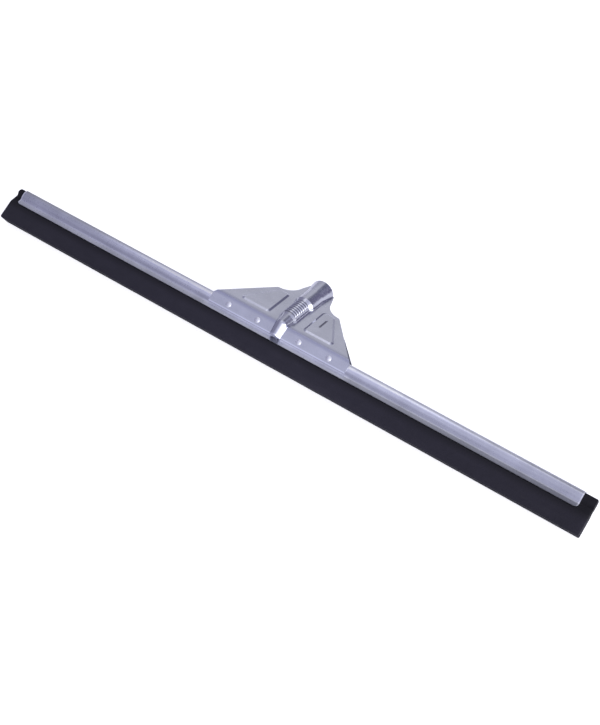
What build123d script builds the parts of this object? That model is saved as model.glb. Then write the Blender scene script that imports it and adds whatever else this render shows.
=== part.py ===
import math
import os

from build123d import *

# A floor squeegee head without its handle: a folded steel channel grips a twin foam blade, and two
# pressed steel plates riveted over the channel form the socket for the handle.
#
# Each piece is drawn in the blade's own axes: X runs along the blade, Y from the front face to the
# rear, and Z from the working edge of the foam up towards the handle. At the end the whole head is
# laid on its back, resting on the foam's rear edge and the back of the socket mouth, with +Z up.

# Driving dimensions, in millimetres and degrees
blade_length = 752.0
blade_shift = 2.3
channel_length = 728.0
sheet = 0.8
fit_gap = 0.1

exposed_foam = 23.7
channel_height = 18.9
channel_half_width = 8.0
channel_corner = 5.5
bulge_height = 9.2
bulge_radius = 6.0
crease_height = 5.4
crease_half_width = 6.3
crease_radius = 3.5
lip_half_width = 9.8
lip_corner = 3.5

foam_gap = 0.3
foam_half_width = 8.6
foam_edge_radius = 0.8
foam_shoulder_radius = 3.0

flange_bottom = exposed_foam + 6.5
flange_half_width = 89.0
fold_height = exposed_foam + channel_height + 2.4
fold_radius = 0.8
lean = 40.0

shoulder_half_width = 40.5
shoulder_height = 52.5
shoulder_radius = 4.0
hollow_middle = (26.0, 57.5)
hollow_end = (19.5, 69.0)
neck_half_width = 15.2
mouth_height = 81.0

panel_inner = 22.0
panel_outer = 62.5
panel_bottom = 6.3
panel_top = 50.0
panel_top_outer = 36.5
panel_corner = 4.0
panel_rise = 1.1
panel_slope = 2.4

nose_radius = 6.4
kink_radius = 7.4
swell_start = 9.0
swell_radius = 8.8
thread_start = 13.0
thread_radius = 10.0
thread_pitch = 3.65
thread_turns = 7
thread_rise = 1.0
thread_foot = 0.1
bead_half_width = 8.0
collar_start = 43.0
collar_radius = 12.2
rim_length = 18.0
rim_radius = 14.1
nose_blend = 0.8
swell_blend = 2.4
thread_blend = 3.0
collar_blend = 1.5
blend_overlap = 0.5
blend_bite = 0.04

groove_place = (33.5, 30.5)
groove_length = 17.0
groove_radius = 1.3
groove_depth = 0.6

rivet_columns = (-65.5, -27.0, 27.0, 65.5)
rivet_height = exposed_foam + 12.7
rivet_shank = 2.0
rivet_head = 3.4
rivet_dome = 0.9
rivet_tail = 3.2
rivet_tail_top = 2.4
rivet_tail_height = 1.3

# Heights and planes that follow from them
channel_top = exposed_foam + channel_height
flange_inner = channel_half_width + fit_gap
flange_outer = flange_inner + sheet
lean_sin = math.sin(math.radians(lean))
lean_cos = math.cos(math.radians(lean))
half_seam = fit_gap / 2
thread_end = thread_start + thread_pitch * thread_turns
wing_slope = (flange_half_width - shoulder_half_width) / (shoulder_height + 4)
wing_base = flange_half_width - 4 * wing_slope

# The wing plane holds the seam of the socket: its origin is on the front fold, its X runs along the
# blade, its Y climbs the wings to the mouth and its Z looks to the front.
wing_plane = Plane(
    origin=(0, -flange_inner, fold_height),
    x_dir=(1, 0, 0),
    z_dir=(0, -lean_cos, lean_sin),
)
rear_fold_reach = 2 * flange_inner / lean_sin


def along_blade(profile, length):
    """Stretch a profile drawn in (Y, Z) evenly to both sides of the middle of the blade."""
    return extrude(Plane.YZ * profile, length / 2, both=True)


def climb(reach, rise=0.0):
    """Place, in (Y, Z), a point at a reach up the wing plane and a rise in front of it."""
    return (
        -flange_inner + reach * lean_sin - rise * lean_cos,
        fold_height + reach * lean_cos + rise * lean_sin,
    )


def mirrored(points):
    """Close an outline from its right half, given from the bottom to the top."""
    return list(points) + [(-x, y) for x, y in reversed(points)]


def channel_corners():
    """Right half of the channel's outer face before its bends are rounded, and their radii."""
    corners = [
        (lip_half_width, exposed_foam),
        (crease_half_width, exposed_foam + crease_height),
        (channel_half_width, exposed_foam + bulge_height),
        (channel_half_width, channel_top),
    ]
    return corners, [crease_radius, bulge_radius, channel_corner]


def make_channel():
    corners, radii = channel_corners()
    path = FilletPolyline(*mirrored(corners), radius=radii + radii[::-1])
    skin = make_face(offset(Wire(path.edges()), sheet, side=Side.LEFT))
    channel = along_blade(skin, channel_length)
    return channel - lip_corner_waste() - rivet_holes(rivet_shank + fit_gap)


def lip_corner_waste():
    """What rounding takes off the lower corner of the lips at each end of the channel."""
    depth = 4 * lip_half_width
    round_bar = Cylinder(lip_corner, depth, rotation=(90, 0, 0))
    square_bar = Box(2 * lip_corner, depth, 2 * lip_corner)
    waste = []
    for end in (1, -1):
        corner_x = end * channel_length / 2
        centre = Pos(corner_x - end * lip_corner, 0, exposed_foam + lip_corner)
        waste.append(Pos(corner_x, 0, exposed_foam) * square_bar - centre * round_bar)
    return waste


def rivet_holes(radius):
    drill = Cylinder(radius, 4 * flange_outer, rotation=(90, 0, 0))
    return [Pos(x, 0, rivet_height) * drill for x in rivet_columns]


def make_foam_strip(side):
    """A foam strip: bulb inside the channel, waist at the crease, wide body below the lips.

    The foam sits a little off the middle of the channel, as it does in the photographed head.
    """
    inset = sheet + foam_gap
    bulb = channel_half_width - inset
    outline = [
        (foam_gap / 2, 0),
        (foam_half_width, 0),
        (foam_half_width, exposed_foam - 1.2),
        (crease_half_width - 1.1 * inset, exposed_foam + crease_height),
        (bulb, exposed_foam + bulge_height),
        (bulb, channel_top - inset),
        (foam_gap / 2, channel_top - inset),
    ]
    radii = [
        0, foam_edge_radius, foam_shoulder_radius, crease_radius - sheet,
        bulge_radius, channel_corner - inset, 0,
    ]
    profile = make_face(FilletPolyline(*outline, radius=radii, close=True))
    if side < 0:
        profile = mirror(profile, Plane.YZ)
    strip = Pos(blade_shift, 0, 0) * along_blade(profile, blade_length)
    return strip - rivet_holes(rivet_shank + fit_gap)


def socket_body(shrink, overrun):
    """The socket as a solid of revolution, less an offset from its outer face."""
    wall = [
        (kink_radius, 0),
        (swell_radius, swell_start),
        (thread_radius, thread_start),
        (thread_radius, thread_end),
        (collar_radius, collar_start),
        (collar_radius, mouth_height - rim_length),
        (rim_radius, mouth_height),
    ]
    outline = [(0, 0)] + [(radius - shrink, reach) for radius, reach in wall]
    if overrun:
        outline.append((rim_radius - shrink, mouth_height + overrun))
    outline.append((0, mouth_height + overrun))
    return wing_plane * revolve(make_face(Polyline(*outline, close=True)), Axis.Y)


def thread_beads():
    """The rolled thread on the socket: ring beads that stop short of the seam on both sides."""
    root = thread_radius - sheet / 2
    valley = thread_radius + thread_foot
    outline = [(root, thread_start), (valley, thread_start)]
    for bead in range(thread_turns):
        foot = thread_start + thread_pitch * bead
        outline.append((thread_radius + thread_rise, foot + thread_pitch / 2))
        outline.append((valley, foot + thread_pitch))
    outline.append((root, thread_end))
    rings = revolve(make_face(Polyline(*outline, close=True)), Axis.Y)
    reach = 2 * mouth_height
    return wing_plane * (rings & Box(2 * bead_half_width, reach, reach))


def nose_body(shrink, overrun):
    """The part of the front ridge below the fold, running down the flange and open at its end."""
    fold_point = Pos(0, -flange_inner, fold_height)
    length = fold_height - flange_bottom + overrun
    cone = Cone(
        nose_radius - shrink, kink_radius - shrink, length,
        align=(Align.CENTER, Align.CENTER, Align.MAX),
    )
    return fold_point * cone + fold_point * Sphere(kink_radius - shrink)


def blend_section(plane, tube_radius, face, blend_radius):
    """Section of the hollow blend between a half-round ridge and the sheet on its right."""
    lift = face - blend_bite + blend_radius
    across = math.sqrt((tube_radius - blend_bite + blend_radius) ** 2 - lift**2)
    centre = Vector(across, lift)
    to_tube = -centre.normalized()
    to_sheet = Vector(0, -1)
    tube_touch = centre + to_tube * blend_radius
    sheet_touch = centre + to_sheet * blend_radius
    low = face - sheet / 2
    edges = [
        ThreePointArc(tube_touch, centre + (to_tube + to_sheet).normalized() * blend_radius, sheet_touch),
        Polyline(sheet_touch, (across, low), (tube_touch.X - 1, low), tube_touch),
    ]
    return plane * make_face(Wire(Curve() + edges))


def wing_blend(start, end):
    """One run of the blend beside the socket, between two stations of reach, radius and blend."""
    sections = []
    for reach, radius, blend in (start, end):
        level = Plane(origin=(0, *climb(reach)), x_dir=(1, 0, 0), z_dir=(0, -lean_sin, -lean_cos))
        sections.append(blend_section(level, radius, half_seam + sheet, blend))
    if start[1:] == end[1:]:
        return extrude(sections[0], start[0] - end[0])
    return loft(sections, ruled=True)


def nose_blend_run():
    """The blend beside the nose, from just above the fold down to the foot of the flange."""
    sections = []
    for height, radius in ((fold_height + blend_overlap, kink_radius), (flange_bottom, nose_radius)):
        level = Plane(origin=(0, -flange_inner, height), x_dir=(1, 0, 0), z_dir=(0, 0, -1))
        sections.append(blend_section(level, radius, sheet, nose_blend))
    return loft(sections, ruled=True)


def ridge_blends():
    """Blends on both sides of the front ridge, up the wings to the mouth and down the flange."""
    stations = [
        (-blend_overlap, kink_radius, nose_blend),
        (swell_start, swell_radius, swell_blend),
        (thread_start, thread_radius, thread_blend),
        (thread_end, thread_radius, thread_blend),
        (collar_start, collar_radius, collar_blend),
        (mouth_height, collar_radius, collar_blend),
    ]
    right = nose_blend_run()
    for start, end in zip(stations, stations[1:]):
        right += wing_blend(start, end)
    return right + mirror(right, Plane.YZ)


def behind_front_plate():
    """Everything behind the inner face of the folded front plate."""
    reach = 2 * mouth_height
    fold = climb(0, half_seam)
    outline = Polyline(
        (-flange_inner, 0), (-flange_inner, fold[1]), climb(reach, half_seam),
        (reach, climb(reach)[1]), (reach, 0), close=True,
    )
    return along_blade(make_face(outline), 4 * rim_radius)


def behind_rear_plate():
    """Everything behind the rear plate: to the rear of its wall and below its wings."""
    reach = 2 * mouth_height
    fold = climb(rear_fold_reach, -half_seam)
    outline = Polyline(
        (flange_inner, 0), (flange_inner, fold[1]), climb(reach, -half_seam),
        (reach, 0), close=True,
    )
    return along_blade(make_face(outline), 4 * rim_radius)


def wing_outline(low):
    """The wings seen square on: straight outer edges, shoulders and a hollow neck to the mouth."""
    foot = (wing_base - wing_slope * low, low)
    shoulder = (shoulder_half_width, shoulder_height)
    edges = [
        Line((0, low), foot),
        Line(foot, shoulder),
        ThreePointArc(shoulder, hollow_middle, hollow_end),
        Line(hollow_end, (neck_half_width, mouth_height)),
        Line((neck_half_width, mouth_height), (0, mouth_height)),
        Line((0, mouth_height), (0, low)),
    ]
    half = make_face(Wire(edges))
    tip = half.vertices().sort_by_distance(shoulder)[0]
    half = fillet(tip, shoulder_radius)
    return half + mirror(half, Plane.YZ)


def folded_sheet(low, fold, wing_end, inner_side):
    """A strip of sheet that stands on the channel and folds back into the wings."""
    path = FilletPolyline(low, fold, wing_end, radius=fold_radius)
    face = make_face(offset(Wire(path.edges()), sheet, side=inner_side))
    return along_blade(face, 2 * flange_half_width)


def panel_blocks(depth_low, depth_high):
    """Both wing panels between two depths in front of the wing plane, with sloping edges."""
    corners = [
        (panel_inner, panel_bottom), (panel_outer, panel_bottom),
        (panel_top_outer, panel_top), (panel_inner, panel_top),
    ]
    foot = make_face(Polyline(*corners, close=True))
    foot = fillet(foot.vertices(), panel_corner)
    top = offset(foot, -panel_slope)
    right = loft([Pos(0, 0, depth_low) * foot, Pos(0, 0, depth_high) * top])
    return [wing_plane * right, wing_plane * mirror(right, Plane.YZ)]


def raise_panels(plate):
    """Press the wing panels out of a plate so that its wall keeps its thickness."""
    face = half_seam + sheet
    plate += panel_blocks(face, face + panel_rise)
    plate -= panel_blocks(half_seam, half_seam + panel_rise)
    return plate


def panel_groove():
    """The short round-bottomed groove in the face of the right panel."""
    surface = half_seam + sheet + panel_rise
    bar = Cylinder(groove_radius, groove_length - 2 * groove_radius, rotation=(90, 0, 0))
    for end in (1, -1):
        bar += Pos(0, end * (groove_length / 2 - groove_radius), 0) * Sphere(groove_radius)
    return wing_plane * Pos(*groove_place, surface + groove_radius - groove_depth) * bar


def flange_prism(top_height, top_half):
    outline = mirrored([
        (flange_half_width, flange_bottom), (flange_half_width, channel_top - 1.0),
        (top_half, top_height),
    ])
    return extrude(Plane.XZ * make_face(Polyline(*outline, close=True)), 60, both=True)


def make_front_plate():
    ribbon = folded_sheet(
        (-flange_inner, flange_bottom), climb(0, half_seam), climb(mouth_height, half_seam), Side.LEFT
    )
    wings = wing_plane * extrude(wing_outline(-2.0), 40, both=True)
    outline = wings + flange_prism(fold_height + 1.0, wing_base)
    plate = ribbon & outline
    plate = raise_panels(plate)
    ridge = socket_body(0, 0) + nose_body(0, 0) + thread_beads()
    plate += ridge - behind_front_plate()
    plate += ridge_blends() & outline
    plate -= socket_body(sheet, 5.0) + nose_body(sheet, 5.0)
    return plate - panel_groove() - rivet_holes(rivet_shank + fit_gap)


def make_rear_plate():
    fold = climb(rear_fold_reach, -half_seam)
    ribbon = folded_sheet(
        (flange_inner, flange_bottom), fold, climb(mouth_height, -half_seam), Side.RIGHT
    )
    wings = wing_plane * extrude(wing_outline(rear_fold_reach - 2.0), 40, both=True)
    outline = wings + flange_prism(fold[1] + 1.0, wing_base - wing_slope * rear_fold_reach)
    plate = ribbon & outline
    plate += (socket_body(0, 0) + thread_beads()) & behind_rear_plate()
    plate -= socket_body(sheet, 5.0)
    return plate - rivet_holes(rivet_shank + fit_gap)


def make_rivets():
    """Four rivets through flanges, channel and foam: domed in front, hammered flat behind."""
    bearing = flange_outer + half_seam
    dome_radius = (rivet_head**2 + rivet_dome**2) / (2 * rivet_dome)
    outline = [
        RadiusArc((0, -bearing - rivet_dome), (rivet_head, -bearing), -dome_radius),
        Polyline(
            (rivet_head, -bearing), (rivet_shank, -bearing), (rivet_shank, bearing),
            (rivet_tail, bearing), (rivet_tail_top, bearing + rivet_tail_height),
            (0, bearing + rivet_tail_height), (0, -bearing - rivet_dome),
        ),
    ]
    rivet = revolve(make_face(Wire(Curve() + outline)), Axis.Y)
    return Compound([Pos(x, 0, rivet_height) * rivet for x in rivet_columns])


def lay_on_back(pieces):
    """Turn the head onto its back and centre its footprint on the origin."""
    mouth_y, mouth_z = climb(mouth_height, -rim_radius)
    tilt = math.degrees(math.atan2(mouth_y - foam_half_width, mouth_z))
    turn = Rot(tilt - 90, 0, 0)
    turned = {name: turn * piece for name, piece in pieces.items()}
    box = Compound([piece for piece in turned.values()]).bounding_box()
    shift = Pos(-box.center().X, -box.center().Y, -box.min.Z)
    return {name: shift * piece for name, piece in turned.items()}, tilt, shift


pieces = {
    "blade_channel": make_channel(),
    "front_foam_strip": make_foam_strip(-1),
    "rear_foam_strip": make_foam_strip(1),
    "front_bracket_plate": make_front_plate(),
    "rear_bracket_plate": make_rear_plate(),
    "flange_rivets": make_rivets(),
}
placed, tilt, shift = lay_on_back(pieces)

os.makedirs("parts", exist_ok=True)
for name, piece in placed.items():
    export_step(piece, f"parts/{name}.step")
    print(name, len(piece.solids()), "solids", round(piece.volume / 1000, 2), "cm3")
print("tilt of the blade from the table", round(tilt, 3), "shift", shift.position)
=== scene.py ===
import math
import random

import bmesh
import bpy
from mathutils import Matrix, Vector


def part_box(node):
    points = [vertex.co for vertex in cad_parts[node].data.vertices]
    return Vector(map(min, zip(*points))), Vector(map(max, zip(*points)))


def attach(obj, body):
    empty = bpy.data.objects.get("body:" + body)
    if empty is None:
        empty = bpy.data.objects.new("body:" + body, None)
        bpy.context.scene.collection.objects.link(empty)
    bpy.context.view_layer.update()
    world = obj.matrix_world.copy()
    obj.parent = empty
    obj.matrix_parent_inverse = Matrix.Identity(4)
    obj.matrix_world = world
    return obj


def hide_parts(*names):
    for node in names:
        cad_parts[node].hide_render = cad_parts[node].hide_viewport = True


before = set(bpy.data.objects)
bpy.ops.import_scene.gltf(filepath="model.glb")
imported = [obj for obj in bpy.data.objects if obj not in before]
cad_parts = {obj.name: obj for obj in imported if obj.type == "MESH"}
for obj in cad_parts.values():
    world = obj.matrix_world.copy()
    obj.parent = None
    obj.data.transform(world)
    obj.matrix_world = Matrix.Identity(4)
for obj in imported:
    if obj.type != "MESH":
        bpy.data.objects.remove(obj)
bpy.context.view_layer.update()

scene = bpy.context.scene
scene.view_settings.view_transform = "Standard"
print("frame loaded, nodes:", sorted(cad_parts))


# helpers for node trees
def addNode(tree, kind, place, **values):
    node = tree.nodes.new(kind)
    node.location = place
    for name, value in values.items():
        setattr(node, name, value)
    return node


def feed(tree, value, socket):
    # a link where another socket is given, a plain value otherwise
    if hasattr(value, "links"):
        tree.links.new(value, socket)
    else:
        socket.default_value = value


def addMath(tree, operation, first, second, place, clamp=False):
    node = addNode(tree, "ShaderNodeMath", place, operation=operation, use_clamp=clamp)
    feed(tree, first, node.inputs[0])
    if second is not None:
        feed(tree, second, node.inputs[1])
    return node.outputs[0]


def addVector(tree, operation, first, second, place):
    node = addNode(tree, "ShaderNodeVectorMath", place, operation=operation)
    feed(tree, first, node.inputs[0])
    if second is not None:
        feed(tree, second, node.inputs[1])
    return node


def addRange(tree, value, span, place, toLow=0.0, toHigh=1.0, smooth=True):
    node = addNode(tree, "ShaderNodeMapRange", place)
    node.interpolation_type = "SMOOTHSTEP" if smooth else "LINEAR"
    feed(tree, value, node.inputs["Value"])
    node.inputs["From Min"].default_value = span[0]
    node.inputs["From Max"].default_value = span[1]
    node.inputs["To Min"].default_value = toLow
    node.inputs["To Max"].default_value = toHigh
    return node.outputs["Result"]


def addMix(tree, factor, first, second, place):
    node = addNode(tree, "ShaderNodeMix", place, data_type="RGBA")
    feed(tree, factor, node.inputs[0])
    for socket, colour in ((node.inputs[6], first), (node.inputs[7], second)):
        feed(tree, colour if hasattr(colour, "links") else (*colour, 1.0), socket)
    return node.outputs[2]


def addNoise(tree, vector, pattern, place):
    node = addNode(tree, "ShaderNodeTexNoise", place)
    feed(tree, vector, node.inputs["Vector"])
    node.inputs["Scale"].default_value = pattern["scale"]
    node.inputs["Detail"].default_value = pattern["detail"]
    node.inputs["Roughness"].default_value = pattern["roughness"]
    return node.outputs["Fac"]


def stretched(tree, vector, scale, place):
    node = addNode(tree, "ShaderNodeMapping", place)
    feed(tree, vector, node.inputs["Vector"])
    node.inputs["Scale"].default_value = scale
    return node.outputs["Vector"]


def scaleColour(tree, colour, amount, place):
    node = addVector(tree, "SCALE", colour, None, place)
    feed(tree, amount, node.inputs["Scale"])
    return node.outputs[0]


def splitAxes(tree, vector, place):
    node = addNode(tree, "ShaderNodeSeparateXYZ", place)
    feed(tree, vector, node.inputs[0])
    return node.outputs


def startGroup(name, inputs, outputs):
    group = bpy.data.node_groups.new(name, "ShaderNodeTree")
    for label, value in inputs:
        kind = "NodeSocketColor" if isinstance(value, tuple) else "NodeSocketFloat"
        socket = group.interface.new_socket(label, in_out="INPUT", socket_type=kind)
        socket.default_value = value
    for label, kind in outputs:
        group.interface.new_socket(label, in_out="OUTPUT", socket_type=kind)
    return group


# how the head lies on the floor: degrees between blade and floor, millimetres of shift
lay = dict(tilt=25.2278, shift=(-57.8863, 7.7797))


def layDown(along, across, up):
    # blade axes to the frame: across runs to the rear, up towards the handle
    turn = math.radians(lay["tilt"])
    y = across * math.sin(turn) + up * math.cos(turn) + lay["shift"][0]
    z = -across * math.cos(turn) + up * math.sin(turn) + lay["shift"][1]
    return Vector((along / 1000, y / 1000, z / 1000))


def makeBladePlaceGroup():
    # metres along the blade, and up the blade from its working edge
    group = startGroup("bladePlace", [], [("Along", "NodeSocketFloat"), ("Height", "NodeSocketFloat")])
    result = addNode(group, "NodeGroupOutput", (600, 0))
    spot = addNode(group, "ShaderNodeTexCoord", (-200, 0)).outputs["Object"]
    feed(group, splitAxes(group, spot, (0, 200))["X"], result.inputs["Along"])
    turn = math.radians(lay["tilt"])
    height = addVector(group, "DOT_PRODUCT", spot, (0.0, math.cos(turn), math.sin(turn)), (0, -100))
    lift = (lay["shift"][0] * math.cos(turn) + lay["shift"][1] * math.sin(turn)) / 1000
    height = addMath(group, "SUBTRACT", height.outputs["Value"], lift, (300, -100))
    feed(group, height, result.inputs["Height"])
    return group


# zinc plating, shared by every steel piece
plating = dict(
    cloud=dict(scale=34.0, detail=4.0, roughness=0.55), cloudSpan=(0.3, 0.7),
    fine=dict(scale=420.0, detail=3.0, roughness=0.6), fineSpan=(0.2, 0.8),
    lines=dict(scale=1.0, detail=3.0, roughness=0.6), lineStretch=(6.0, 900.0, 900.0), lineSpan=(0.25, 0.75),
    scratch=dict(scale=1.0, detail=2.0, roughness=0.5), scratchStretch=(40.0, 700.0, 260.0),
    scratchSpan=(0.66, 0.74),
    contrast=0.22, wornTint=(0.74, 0.75, 0.8), roughSpread=0.06, wornGloss=0.1,
    lineHeight=0.6, fineHeight=0.4, wornHeight=0.2, bumpDepth=0.00004,
)


def makeZincGroup():
    inputs = [
        ("Tint", (0.5, 0.51, 0.6, 1.0)),
        ("Mottle", 0.5),
        ("Streak", 0.5),
        ("Gloss", 0.28),
        ("Wear", 0.3),
    ]
    outputs = [("Color", "NodeSocketColor"), ("Roughness", "NodeSocketFloat"), ("Height", "NodeSocketFloat")]
    group = startGroup("zincPlating", inputs, outputs)
    given = addNode(group, "NodeGroupInput", (-1400, 0)).outputs
    result = addNode(group, "NodeGroupOutput", (900, 0)).inputs
    spot = addNode(group, "ShaderNodeTexCoord", (-1400, -300)).outputs["Object"]

    # cloudy plating, rolling lines drawn out along the blade, sparse handling scratches
    cloud = addNoise(group, spot, plating["cloud"], (-1000, 200))
    fine = addNoise(group, spot, plating["fine"], (-1000, 0))
    rolled = stretched(group, spot, plating["lineStretch"], (-1200, -250))
    lines = addNoise(group, rolled, plating["lines"], (-1000, -250))
    handled = stretched(group, spot, plating["scratchStretch"], (-1200, -500))
    scratch = addNoise(group, handled, plating["scratch"], (-1000, -500))
    scratch = addRange(group, scratch, plating["scratchSpan"], (-780, -500))
    worn = addMath(group, "MULTIPLY", scratch, given["Wear"], (-560, -500))

    cloudShade = addRange(group, cloud, plating["cloudSpan"], (-780, 200), -0.5, 0.5, False)
    cloudShade = addMath(group, "MULTIPLY", cloudShade, given["Mottle"], (-560, 200))
    lineShade = addRange(group, lines, plating["lineSpan"], (-780, -250), -0.5, 0.5, False)
    lineShade = addMath(group, "MULTIPLY", lineShade, given["Streak"], (-560, -250))
    shade = addMath(group, "ADD", cloudShade, lineShade, (-340, 0))
    shade = addMath(group, "MULTIPLY", shade, plating["contrast"], (-180, 0))
    shade = addMath(group, "ADD", shade, 1.0, (-20, 0))
    tinted = scaleColour(group, given["Tint"], shade, (140, 120))
    feed(group, addMix(group, worn, tinted, plating["wornTint"], (340, 120)), result["Color"])

    spread = plating["roughSpread"]
    rough = addRange(group, fine, plating["fineSpan"], (-780, 0), -spread, spread, False)
    rough = addMath(group, "ADD", rough, given["Gloss"], (-20, -160))
    smoothed = addMath(group, "MULTIPLY", worn, plating["wornGloss"], (-20, -420))
    feed(group, addMath(group, "SUBTRACT", rough, smoothed, (140, -160), True), result["Roughness"])

    height = addMath(group, "MULTIPLY", lines, plating["lineHeight"], (-20, -560))
    grain = addMath(group, "MULTIPLY", fine, plating["fineHeight"], (-20, -720))
    height = addMath(group, "ADD", height, grain, (140, -560))
    dug = addMath(group, "MULTIPLY", worn, plating["wornHeight"], (140, -720))
    feed(group, addMath(group, "SUBTRACT", height, dug, (340, -560)), result["Height"])
    return group


bladePlaceGroup = makeBladePlaceGroup()
zincGroup = makeZincGroup()
print("node groups built: bladePlace, zincPlating")


def makeZincMaterial(name, finish, addMarks):
    material = bpy.data.materials.new(name)
    material.use_nodes = True
    tree = material.node_tree
    shader = tree.nodes["Principled BSDF"]
    zinc = addNode(tree, "ShaderNodeGroup", (-700, 0), node_tree=zincGroup)
    zinc.inputs["Tint"].default_value = (*finish["tint"], 1.0)
    for label in ("Mottle", "Streak", "Gloss", "Wear"):
        zinc.inputs[label].default_value = finish[label.lower()]
    bump = addNode(tree, "ShaderNodeBump", (-300, -260))
    bump.inputs["Strength"].default_value = finish["bump"]
    bump.inputs["Distance"].default_value = plating["bumpDepth"]
    feed(tree, zinc.outputs["Height"], bump.inputs["Height"])
    colour = zinc.outputs["Color"]
    if addMarks:
        colour = addMarks(tree, colour, finish)
    feed(tree, colour, shader.inputs["Base Color"])
    feed(tree, zinc.outputs["Roughness"], shader.inputs["Roughness"])
    feed(tree, bump.outputs["Normal"], shader.inputs["Normal"])
    shader.inputs["Metallic"].default_value = 1.0
    material.diffuse_color = (*finish["tint"], 1.0)
    return material


def dressSteel(node, finish, addMarks=None):
    material = makeZincMaterial(node + "Zinc", finish, addMarks)
    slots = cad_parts[node].data.materials
    if len(slots) == 0:
        slots.append(material)
    for place in range(len(slots)):
        slots[place] = material
    print("steel dressed:", node)


# heights and reaches in metres, shades as a share of the plating's brightness
# the crown, top line, rim, lips and sheared ends below carry painted highlight and painted shade
channelFinish = dict(
    tint=(0.62, 0.63, 0.7), mottle=1.1, streak=1.0, gloss=0.3, wear=0.45, bump=0.22,
    crown=(0.0315, 0.0355), sheenStart=0.09, sheenNear=0.24, sheenFar=-0.13,
    line=(0.0358, 0.038), lineReach=(0.16, 0.27), lineSheen=0.45,
    rim=(0.0392, 0.041), rimReach=(-0.1, 0.3), rimShade=0.3,
    lips=(0.029, 0.0308), lipShadeReach=(-0.25, 0.28), lipShade=(0.05, 0.37),
    bracketReach=(0.086, 0.1), lipBounce=0.12, fade=(0.0237, 0.0295), lipFade=0.11,
    cutWidth=0.0016, cutBlend=0.6, cutHighlight=(0.86, 0.87, 0.92),
)


def addChannelMarks(tree, colour, finish):
    low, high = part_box("blade_channel")
    half = (high[0] - low[0]) / 2
    blade = addNode(tree, "ShaderNodeGroup", (-1700, 500), node_tree=bladePlaceGroup).outputs
    side = addMath(tree, "SUBTRACT", blade["Along"], (low[0] + high[0]) / 2, (-1400, 300))
    along = addMath(tree, "ABSOLUTE", side, None, (-1240, 300))
    up = blade["Height"]
    # painted highlight on the crown beside the bracket, painted shade towards the ends
    crown = addRange(tree, up, finish["crown"], (-1000, 560))
    sheenSpan = (finish["sheenStart"], half)
    crownSheen = addRange(tree, along, sheenSpan, (-1000, 380), finish["sheenNear"], finish["sheenFar"], False)
    crownSheen = addMath(tree, "MULTIPLY", crownSheen, crown, (-820, 480))
    # a painted highlight line near its top, over a rim darkened by painted shade
    rim = addRange(tree, up, finish["rim"], (-1180, 1060))
    line = addMath(tree, "SUBTRACT", addRange(tree, up, finish["line"], (-1180, 1220)), rim, (-1000, 1220))
    lineSheen = addRange(tree, along, finish["lineReach"], (-1000, 1060), finish["lineSheen"], 0.0)
    lineSheen = addMath(tree, "MULTIPLY", lineSheen, line, (-820, 1140))
    rimShade = addRange(tree, side, finish["rimReach"], (-1000, 1540), -finish["rimShade"], 0.0, False)
    rimShade = addMath(tree, "MULTIPLY", rimShade, rim, (-820, 1540))
    crownSheen = addMath(tree, "ADD", crownSheen, addMath(tree, "ADD", lineSheen, rimShade, (-660, 1140)), (-660, 480))
    # painted shade on the lips, most at the right, with painted bounce light under the bracket
    lips = addRange(tree, up, finish["lips"], (-1000, 740), 1.0, 0.0)
    left, right = finish["lipShade"]
    lipShading = addRange(tree, side, finish["lipShadeReach"], (-1000, 900), -left, -right, False)
    covered = addRange(tree, along, finish["bracketReach"], (-1000, 1380), 1.0, 0.0)
    bare = addMath(tree, "SUBTRACT", 1.0, covered, (-820, 1380))
    lipShading = addMath(tree, "MULTIPLY", lipShading, bare, (-660, 1300))
    bounce = addMath(tree, "MULTIPLY", covered, finish["lipBounce"], (-660, 1460))
    lipShading = addMath(tree, "ADD", lipShading, bounce, (-500, 1300))
    fade = addRange(tree, up, finish["fade"], (-1000, 1700), -finish["lipFade"], finish["lipFade"], False)
    lipShading = addMath(tree, "ADD", lipShading, fade, (-500, 1140))
    lipShading = addMath(tree, "MULTIPLY", lipShading, lips, (-500, 820))
    shade = addMath(tree, "ADD", addMath(tree, "ADD", crownSheen, lipShading, (-500, 620)), 1.0, (-400, 620))
    colour = scaleColour(tree, colour, shade, (-320, 300))
    # painted highlight along the sheared ends of the strip
    cutSpan = (half - finish["cutWidth"], half - finish["cutBlend"] * finish["cutWidth"])
    return addMix(tree, addRange(tree, along, cutSpan, (-500, 200)), colour, finish["cutHighlight"], (-140, 200))


# places on the plate in millimetres in blade axes, spans and widths in metres
# the fold, lower edge, groove and bead marks below are painted shade and painted highlight
frontPlateFinish = dict(
    tint=(0.62, 0.63, 0.7), mottle=0.7, streak=0.25, gloss=0.24, wear=0.2, bump=0.22,
    lean=40.0, fold=(-8.6, 45.3), foldWidth=0.0052, foldShadeTint=(0.45, 0.46, 0.57),
    edge=(0.0307, 0.0322), edgeHighlight=1.4,
    groove=(31.2, 30.5), grooveWidth=(0.0007, 0.0016), grooveLength=(0.0065, 0.0095), grooveShade=0.65,
    grooveShadeTint=(0.14, 0.14, 0.17),
    beadColumn=-2.3, beadStart=13.0, beadPitch=3.65, beadCount=7, beadShade=0.54,
    beadHalf=(0.0074, 0.0084), beadValley=(-0.2, 0.9), beadFade=(0.0004, 0.0012),
)


def addWingPlace(tree, spot, middle, upWing, place):
    # distances from a point of the wing, sideways and up the wing
    offset = addVector(tree, "SUBTRACT", spot, middle, place).outputs[0]
    aside = splitAxes(tree, offset, (place[0] + 180, place[1]))["X"]
    run = addVector(tree, "DOT_PRODUCT", offset, upWing, (place[0] + 180, place[1] - 140)).outputs["Value"]
    return addMath(tree, "ABSOLUTE", aside, None, (place[0] + 360, place[1])), run


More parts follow.
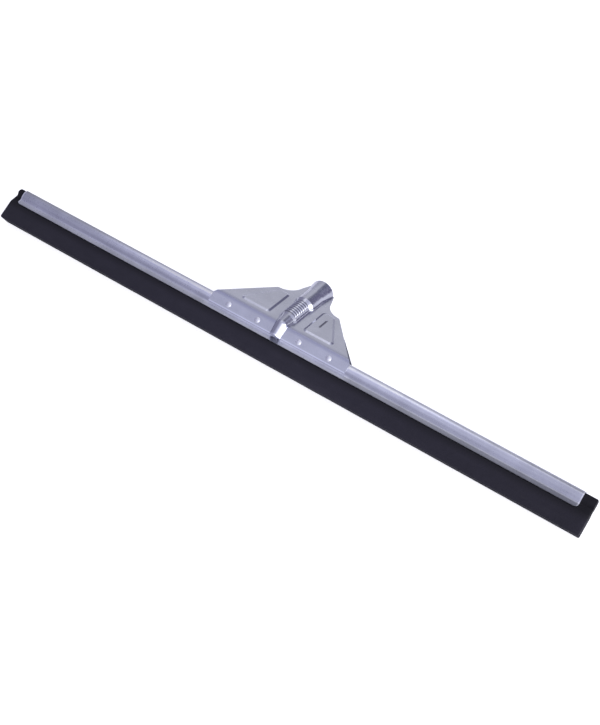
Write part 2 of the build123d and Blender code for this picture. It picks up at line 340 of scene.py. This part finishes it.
def addFoldBand(tree, colour, finish, spot):
    # painted shade: a soft dark band along the fold
    offset = addVector(tree, "SUBTRACT", spot, layDown(0, *finish["fold"]), (-1500, 700)).outputs[0]
    offset = addVector(tree, "MULTIPLY", offset, (0.0, 1.0, 1.0), (-1320, 700)).outputs[0]
    away = addVector(tree, "LENGTH", offset, None, (-1140, 700)).outputs["Value"]
    band = addRange(tree, away, (0.0, finish["foldWidth"]), (-960, 700), 1.0, 0.0)
    return addMix(tree, band, colour, finish["foldShadeTint"], (-560, 700))


def addGrooveShade(tree, colour, finish, spot, onWing, upWing):
    # painted shade in the short groove in the right panel
    aside, run = addWingPlace(tree, spot, onWing(*finish["groove"]), upWing, (-1500, 300))
    run = addMath(tree, "ABSOLUTE", run, None, (-1140, 160))
    aside = addRange(tree, aside, finish["grooveWidth"], (-960, 300), finish["grooveShade"], 0.0)
    run = addRange(tree, run, finish["grooveLength"], (-960, 160), 1.0, 0.0)
    grooveShading = addMath(tree, "MULTIPLY", aside, run, (-780, 240))
    return addMix(tree, grooveShading, colour, finish["grooveShadeTint"], (-200, 200))


def addBeadShade(tree, colour, finish, spot, onWing, upWing):
    # painted shade between the beads of the socket
    start = onWing(finish["beadColumn"], finish["beadStart"])
    aside, run = addWingPlace(tree, spot, start, upWing, (-1500, -500))
    wave = addMath(tree, "MULTIPLY", run, 2000 * math.pi / finish["beadPitch"], (-1140, -640))
    valley = addMath(tree, "COSINE", wave, None, (-980, -640))
    valley = addRange(tree, valley, finish["beadValley"], (-820, -640))
    near, far = finish["beadFade"]
    reach = finish["beadCount"] * finish["beadPitch"] / 1000
    first = addRange(tree, run, (-far, -near), (-980, -800))
    last = addRange(tree, run, (reach + near, reach + far), (-980, -960), 1.0, 0.0)
    within = addRange(tree, aside, finish["beadHalf"], (-980, -400), 1.0, 0.0)
    valley = addMath(tree, "MULTIPLY", valley, within, (-640, -480))
    between = addMath(tree, "MULTIPLY", first, last, (-820, -880))
    valley = addMath(tree, "MULTIPLY", valley, between, (-480, -600))
    shade = addRange(tree, valley, (0.0, 1.0), (-320, -600), 1.0, 1.0 - finish["beadShade"], False)
    return scaleColour(tree, colour, shade, (-40, 200))


def addFrontPlateMarks(tree, colour, finish):
    spot = addNode(tree, "ShaderNodeTexCoord", (-1700, 300)).outputs["Object"]
    lean = math.radians(finish["lean"])
    across, up = finish["fold"]

    def onWing(column, climb):
        return layDown(column, across + climb * math.sin(lean), up + climb * math.cos(lean))

    upWing = (layDown(0, math.sin(lean), math.cos(lean)) - layDown(0, 0, 0)).normalized()
    colour = addFoldBand(tree, colour, finish, spot)
    # painted highlight along the lower edge of the flange
    height = addNode(tree, "ShaderNodeGroup", (-1500, 520), node_tree=bladePlaceGroup).outputs["Height"]
    bright = addRange(tree, height, finish["edge"], (-1140, 520), finish["edgeHighlight"], 1.0)
    colour = scaleColour(tree, colour, bright, (-380, 560))
    colour = addGrooveShade(tree, colour, finish, spot, onWing, upWing)
    return addBeadShade(tree, colour, finish, spot, onWing, upWing)


rearPlateFinish = dict(tint=(0.6, 0.61, 0.68), mottle=0.7, streak=0.25, gloss=0.27, wear=0.3, bump=0.3)
rivetFinish = dict(tint=(0.88, 0.89, 0.94), mottle=0.4, streak=0.1, gloss=0.42, wear=0.3, bump=0.25)

dressSteel("blade_channel", channelFinish, addChannelMarks)
dressSteel("front_bracket_plate", frontPlateFinish, addFrontPlateMarks)
dressSteel("rear_bracket_plate", rearPlateFinish)
dressSteel("flange_rivets", rivetFinish)


# foam blade: one strip's sizes in millimetres across and up from the working edge, then its look
foamBlade = dict(
    halfLength=376.0, split=0.15, half=8.6, shoulder=22.5, waist=4.6, waistHeight=29.1,
    bulb=6.9, bulbLow=32.9, roof=41.5, splitRound=0.3, edge=0.8, shoulderRound=3.0, waistRound=1.4,
    bulbRound=3.0, roofRound=4.4, endRound=0.9, endRings=((0.0, 1.0), (0.35, 0.45), (1.0, 0.0)),
    notch=2.6, notchLow=28.0, notchHigh=33.6, notchReach=4.0, bulbTrim=1.3,
    slices=150, wave=0.22, waveLift=0.5, waveSpans=(61, 37, 23, 13), outerSide=4.0, seed=5,
    dark=(0.0185, 0.0172, 0.0265), light=(0.0235, 0.0218, 0.0325),
    skin=dict(scale=55.0, detail=5.0, roughness=0.6), skinShade=(0.3, 0.7),
    pore=(0.011, 0.0105, 0.015), poreShare=0.35, cellsPerMetre=1150.0, cellSpan=(0.1, 0.55),
    dustTint=(0.055, 0.052, 0.066), dust=0.22, dustSpan=(0.45, 0.75),
    smear=dict(scale=1.0, detail=4.0, roughness=0.6), smearStretch=(8.0, 60.0, 60.0),
    # painted shade under the lips
    lipShadowTint=(0.005, 0.0048, 0.0075), lipShadowShare=0.78, lipShadowSpan=(0.013, 0.0235),
    # painted light: paler middle, darker ends
    paleReach=(0.08, 0.36), paleMiddle=1.1, paleEnds=0.84,
    rough=0.82, roughSpread=0.06, skinRough=(0.2, 0.8), specular=0.3,
    bump=0.5, bumpDepth=0.0003, poreHeight=0.7, skinHeight=0.6,
)


def makeFoamMaterial(look):
    material = bpy.data.materials.new("foamRubber")
    material.use_nodes = True
    tree = material.node_tree
    shader = tree.nodes["Principled BSDF"]
    spot = addNode(tree, "ShaderNodeTexCoord", (-1500, 0)).outputs["Object"]
    blade = addNode(tree, "ShaderNodeGroup", (-1200, 500), node_tree=bladePlaceGroup).outputs
    cells = addNode(tree, "ShaderNodeTexVoronoi", (-1200, 200))
    feed(tree, spot, cells.inputs["Vector"])
    cells.inputs["Scale"].default_value = look["cellsPerMetre"]
    pore = addRange(tree, cells.outputs["Distance"], look["cellSpan"], (-1000, 200))
    skin = addNoise(tree, spot, look["skin"], (-1200, -100))
    smeared = stretched(tree, spot, look["smearStretch"], (-1400, -350))
    dust = addNoise(tree, smeared, look["smear"], (-1200, -350))
    dust = addRange(tree, dust, look["dustSpan"], (-1000, -350))
    dust = addMath(tree, "MULTIPLY", dust, look["dust"], (-520, -300))
    shade = addRange(tree, skin, look["skinShade"], (-1000, -100))
    colour = addMix(tree, shade, look["dark"], look["light"], (-760, 0))
    pit = addMath(tree, "SUBTRACT", 1.0, pore, (-800, 260))
    pit = addMath(tree, "MULTIPLY", pit, look["poreShare"], (-640, 260))
    colour = addMix(tree, pit, colour, look["pore"], (-520, 60))
    colour = addMix(tree, dust, colour, look["dustTint"], (-300, 0))
    # painted shade close under the lips
    under = addRange(tree, blade["Height"], look["lipShadowSpan"], (-520, -180), 0.0, look["lipShadowShare"])
    colour = addMix(tree, under, colour, look["lipShadowTint"], (-160, 60))
    # painted light: paler in the middle of the blade than at its ends
    along = addMath(tree, "ABSOLUTE", blade["Along"], None, (-720, 420))
    pale = addRange(tree, along, look["paleReach"], (-540, 420), look["paleMiddle"], look["paleEnds"], False)
    feed(tree, scaleColour(tree, colour, pale, (0, 60)), shader.inputs["Base Color"])
    least = look["rough"] - look["roughSpread"]
    most = look["rough"] + look["roughSpread"]
    rough = addRange(tree, skin, look["skinRough"], (-520, -480), least, most, False)
    feed(tree, rough, shader.inputs["Roughness"])
    height = addMath(tree, "MULTIPLY", pore, look["poreHeight"], (-640, -640))
    swell = addMath(tree, "MULTIPLY", skin, look["skinHeight"], (-640, -800))
    height = addMath(tree, "ADD", height, swell, (-460, -640))
    bump = addNode(tree, "ShaderNodeBump", (-260, -560))
    bump.inputs["Strength"].default_value = look["bump"]
    bump.inputs["Distance"].default_value = look["bumpDepth"]
    feed(tree, height, bump.inputs["Height"])
    feed(tree, bump.outputs["Normal"], shader.inputs["Normal"])
    shader.inputs["Specular IOR Level"].default_value = look["specular"]
    material.diffuse_color = (*look["dark"], 1.0)
    return material


def roundCorners(corners, radii, steps=6):
    # corner points with each corner swept by an arc of its own radius
    points = []
    for index, corner in enumerate(corners):
        here = Vector(corner)
        before = (Vector(corners[index - 1]) - here).normalized()
        after = (Vector(corners[(index + 1) % len(corners)]) - here).normalized()
        radius = radii[index]
        half = math.acos(max(-1.0, min(1.0, before.dot(after)))) / 2
        reach = radius / math.tan(half)
        centre = here + (before + after).normalized() * (radius / math.sin(half))
        start = here + before * reach - centre
        end = here + after * reach - centre
        sweep = math.pi - 2 * half
        for step in range(steps + 1):
            share = step / steps
            first = math.sin((1 - share) * sweep) / math.sin(sweep)
            second = math.sin(share * sweep) / math.sin(sweep)
            points.append(centre + start * first + end * second)
    return points


def foamProfile(size):
    rounded = [
        ((size["split"], 0), size["splitRound"]),
        ((size["half"], 0), size["edge"]),
        ((size["half"], size["shoulder"]), size["shoulderRound"]),
        ((size["waist"], size["waistHeight"]), size["waistRound"]),
        ((size["bulb"], size["bulbLow"]), size["bulbRound"]),
        ((size["bulb"], size["roof"]), size["roofRound"]),
        ((size["split"], size["roof"]), size["splitRound"]),
    ]
    return roundCorners([corner for corner, radius in rounded], [radius for corner, radius in rounded])


def foamStations(size):
    # places along the strip, each with how far its ring is drawn in to round the ends over
    half = size["halfLength"]
    stations = []
    for back, inset in size["endRings"]:
        stations.append((-half + back * size["endRound"], inset * size["endRound"]))
    for cut in range(1, size["slices"]):
        stations.append((-half + 2 * half * cut / size["slices"], 0.0))
    for back, inset in reversed(size["endRings"]):
        stations.append((half - back * size["endRound"], inset * size["endRound"]))
    return stations


def makeFoamStrip(name, node, side, material):
    size = foamBlade
    profile = foamProfile(size)
    middle = Vector((size["half"] / 2, size["roof"] / 2))
    draw = random.Random(size["seed"] + (0 if side < 0 else 1))
    phases = [draw.uniform(0, 2 * math.pi) for span in size["waveSpans"]]
    mesh = bpy.data.meshes.new(name)
    shape = bmesh.new()
    rings = []
    for along, inset in foamStations(size):
        ring = []
        waves = [math.sin(along / span + phase) for span, phase in zip(size["waveSpans"], phases)]
        ripple = sum(waves) / len(waves)
        for point in profile:
            across, up = point
            low = max(0.0, 1.0 - up / size["shoulder"])
            pull = (middle - point).normalized() * inset
            sway = abs(ripple) * size["wave"] * low
            across = across + pull.x - sway * (1 if across > size["outerSide"] else 0)
            up = up + pull.y + sway * size["waveLift"]
            # a notch torn into the waist at the left end
            trim = 0.0
            if along < size["notchReach"] - size["halfLength"] and up > size["notchLow"]:
                trim = size["notch"] if up < size["notchHigh"] else size["bulbTrim"]
            ring.append(shape.verts.new(layDown(along + trim, side * across, up)))
        rings.append(ring)
    for first, second in zip(rings, rings[1:]):
        for index in range(len(profile)):
            after = (index + 1) % len(profile)
            shape.faces.new((first[index], first[after], second[after], second[index]))
    shape.faces.new(rings[0])
    shape.faces.new(rings[-1])
    bmesh.ops.recalc_face_normals(shape, faces=shape.faces)
    shape.to_mesh(mesh)
    shape.free()
    for polygon in mesh.polygons:
        polygon.use_smooth = len(polygon.vertices) == 4
    piece = bpy.data.objects.new(name, mesh)
    scene.collection.objects.link(piece)
    mesh.materials.append(material)
    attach(piece, "root")
    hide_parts(node)
    print("foam strip modelled:", name)


foamMaterial = makeFoamMaterial(foamBlade)
makeFoamStrip("frontFoam", "front_foam_strip", -1, foamMaterial)
makeFoamStrip("rearFoam", "rear_foam_strip", 1, foamMaterial)


def addSeen(tree, share, place):
    # 1 for what the camera or glass sees, a share of that for what metal mirrors
    rays = addNode(tree, "ShaderNodeLightPath", place).outputs
    mirrored = addMath(tree, "MULTIPLY", rays["Is Glossy Ray"], share, (place[0] + 160, place[1] - 140))
    seen = addMath(tree, "MAXIMUM", rays["Is Camera Ray"], mirrored, (place[0] + 320, place[1]))
    return addMath(tree, "MAXIMUM", seen, rays["Is Transmission Ray"], (place[0] + 480, place[1]))


paperFloor = dict(
    reach=6.0, drop=0.0004, tint=(0.9, 0.9, 0.9), roughness=0.95, specular=0.0, glow=0.65, mirrored=0.185,
)


def makeFloor():
    mesh = bpy.data.meshes.new("studioFloor")
    reach = paperFloor["reach"]
    corners = [(-reach, -reach, 0), (reach, -reach, 0), (reach, reach, 0), (-reach, reach, 0)]
    mesh.from_pydata(corners, [], [(0, 1, 2, 3)])
    floor = bpy.data.objects.new("studioFloor", mesh)
    floor.location.z = -paperFloor["drop"]
    scene.collection.objects.link(floor)
    material = bpy.data.materials.new("paperFloor")
    material.use_nodes = True
    tree = material.node_tree
    shader = tree.nodes["Principled BSDF"]
    shader.inputs["Base Color"].default_value = (*paperFloor["tint"], 1.0)
    shader.inputs["Roughness"].default_value = paperFloor["roughness"]
    shader.inputs["Specular IOR Level"].default_value = paperFloor["specular"]
    seen = addSeen(tree, paperFloor["mirrored"], (-700, 300))
    glow = addNode(tree, "ShaderNodeEmission", (100, 300))
    glow.inputs["Color"].default_value = (1.0, 1.0, 1.0, 1.0)
    feed(tree, addMath(tree, "MULTIPLY", seen, paperFloor["glow"], (-100, 420)), glow.inputs["Strength"])
    both = addNode(tree, "ShaderNodeAddShader", (300, 200))
    feed(tree, glow.outputs[0], both.inputs[0])
    feed(tree, shader.outputs[0], both.inputs[1])
    feed(tree, both.outputs[0], tree.nodes["Material Output"].inputs["Surface"])
    mesh.materials.append(material)
    print("floor laid")


# the room that the metal mirrors: a gradient with soft round places, angles in degrees
sky = dict(
    mirrored=0.1,  # share of the white backdrop that metal shows
    rise=(0.0, 0.75), zenith=(0.578, 0.589, 0.778), horizon=(0.422, 0.428, 0.533),
    patches=[
        dict(toward=(-0.32, 0.76, 0.57), inner=17, outer=52, colour=(0.589, 0.594, 0.667)),  # wall behind
        dict(toward=(-0.91, -0.18, 0.38), inner=16, outer=76, colour=(0.222, 0.217, 0.35)),  # dim side, left
        dict(toward=(0.14, 0.78, 0.6), inner=10, outer=22, colour=(0.056, 0.061, 0.144)),  # dark doorway
        dict(toward=(0.55, 0.82, 0.1), inner=22, outer=36, colour=(0.089, 0.078, 0.189)),  # dark corner
        dict(toward=(0.53, -0.4, 0.74), inner=11, outer=29, colour=(1.722, 1.7, 1.833)),  # over the lamp
        dict(toward=(-0.22, -0.25, 0.94), inner=6, outer=25, colour=(0.6, 0.611, 0.789)),  # ceiling
        dict(toward=(-0.45, 0.28, 0.85), inner=4, outer=12, colour=(0.4, 0.411, 0.522)),  # beam
        dict(toward=(-0.23, 0.25, 0.94), inner=4, outer=14, colour=(1.333, 1.333, 1.467)),  # pale spot in it
    ],
)


def makeSky():
    world = bpy.data.worlds.new("studioRoom")
    scene.world = world
    world.use_nodes = True
    tree = world.node_tree
    backdrop = tree.nodes["Background"]
    toward = addNode(tree, "ShaderNodeTexCoord", (-1400, 0)).outputs["Generated"]
    rise = addRange(tree, splitAxes(tree, toward, (-1200, 200))["Z"], sky["rise"], (-1000, 200))
    colour = addMix(tree, rise, sky["horizon"], sky["zenith"], (-780, 200))
    for index, patch in enumerate(sky["patches"]):
        level = -250 * index - 100
        aim = addVector(tree, "DOT_PRODUCT", toward, Vector(patch["toward"]).normalized(), (-1000, level))
        span = (math.cos(math.radians(patch["outer"])), math.cos(math.radians(patch["inner"])))
        mask = addRange(tree, aim.outputs["Value"], span, (-800, level))
        colour = addMix(tree, mask, colour, patch["colour"], (-560 + 200 * index, 0))
    # plain white behind the object, with the room laid over it in the metal
    seen = addSeen(tree, sky["mirrored"], (600, 300))
    feed(tree, addMix(tree, seen, colour, (1.0, 1.0, 1.0), (1200, 0)), backdrop.inputs["Color"])
    backdrop.inputs["Strength"].default_value = 1.0
    print("room lit, soft places:", len(sky["patches"]))


sideBox = dict(
    aim=(0.0, 0.0, 0.02), toward=(0.93, -0.2, 0.3), away=4.0,
    size=(3.4, 3.1), watts=104.0, colour=(1.0, 1.0, 1.0),
)


def makeLamp(name, plan):
    aim = Vector(plan["aim"])
    lamp = bpy.data.lights.new(name, "AREA")
    lamp.shape = "RECTANGLE"
    lamp.size, lamp.size_y = plan["size"]
    lamp.energy = plan["watts"]
    lamp.color = plan["colour"]
    holder = bpy.data.objects.new(name, lamp)
    holder.location = aim + Vector(plan["toward"]).normalized() * plan["away"]
    holder.rotation_euler = (aim - holder.location).to_track_quat("-Z", "Y").to_euler()
    scene.collection.objects.link(holder)
    print("lamp hung:", name)


photoView = dict(
    location=(0.51462, -0.74246, 1.10287),
    forward=(-0.347606, 0.508792, -0.787592), up=(-0.449888, 0.646466, 0.616183),
    focalPixels=1295.5, imageHeight=725.0, sensor=36.0, nearest=0.01,
)


def makeCamera():
    camera = bpy.data.cameras.new("photoCamera")
    camera.sensor_fit = "AUTO"
    camera.sensor_width = photoView["sensor"]
    camera.lens = photoView["focalPixels"] / photoView["imageHeight"] * photoView["sensor"]
    camera.clip_start = photoView["nearest"]
    holder = bpy.data.objects.new("photoCamera", camera)
    holder.location = photoView["location"]
    forward = Vector(photoView["forward"]).normalized()
    right = forward.cross(Vector(photoView["up"])).normalized()
    holder.rotation_euler = Matrix((right, right.cross(forward), -forward)).transposed().to_euler()
    scene.collection.objects.link(holder)
    scene.camera = holder
    print("camera set at the photograph's view")


makeFloor()
makeSky()
makeLamp("sideBox", sideBox)
makeCamera()
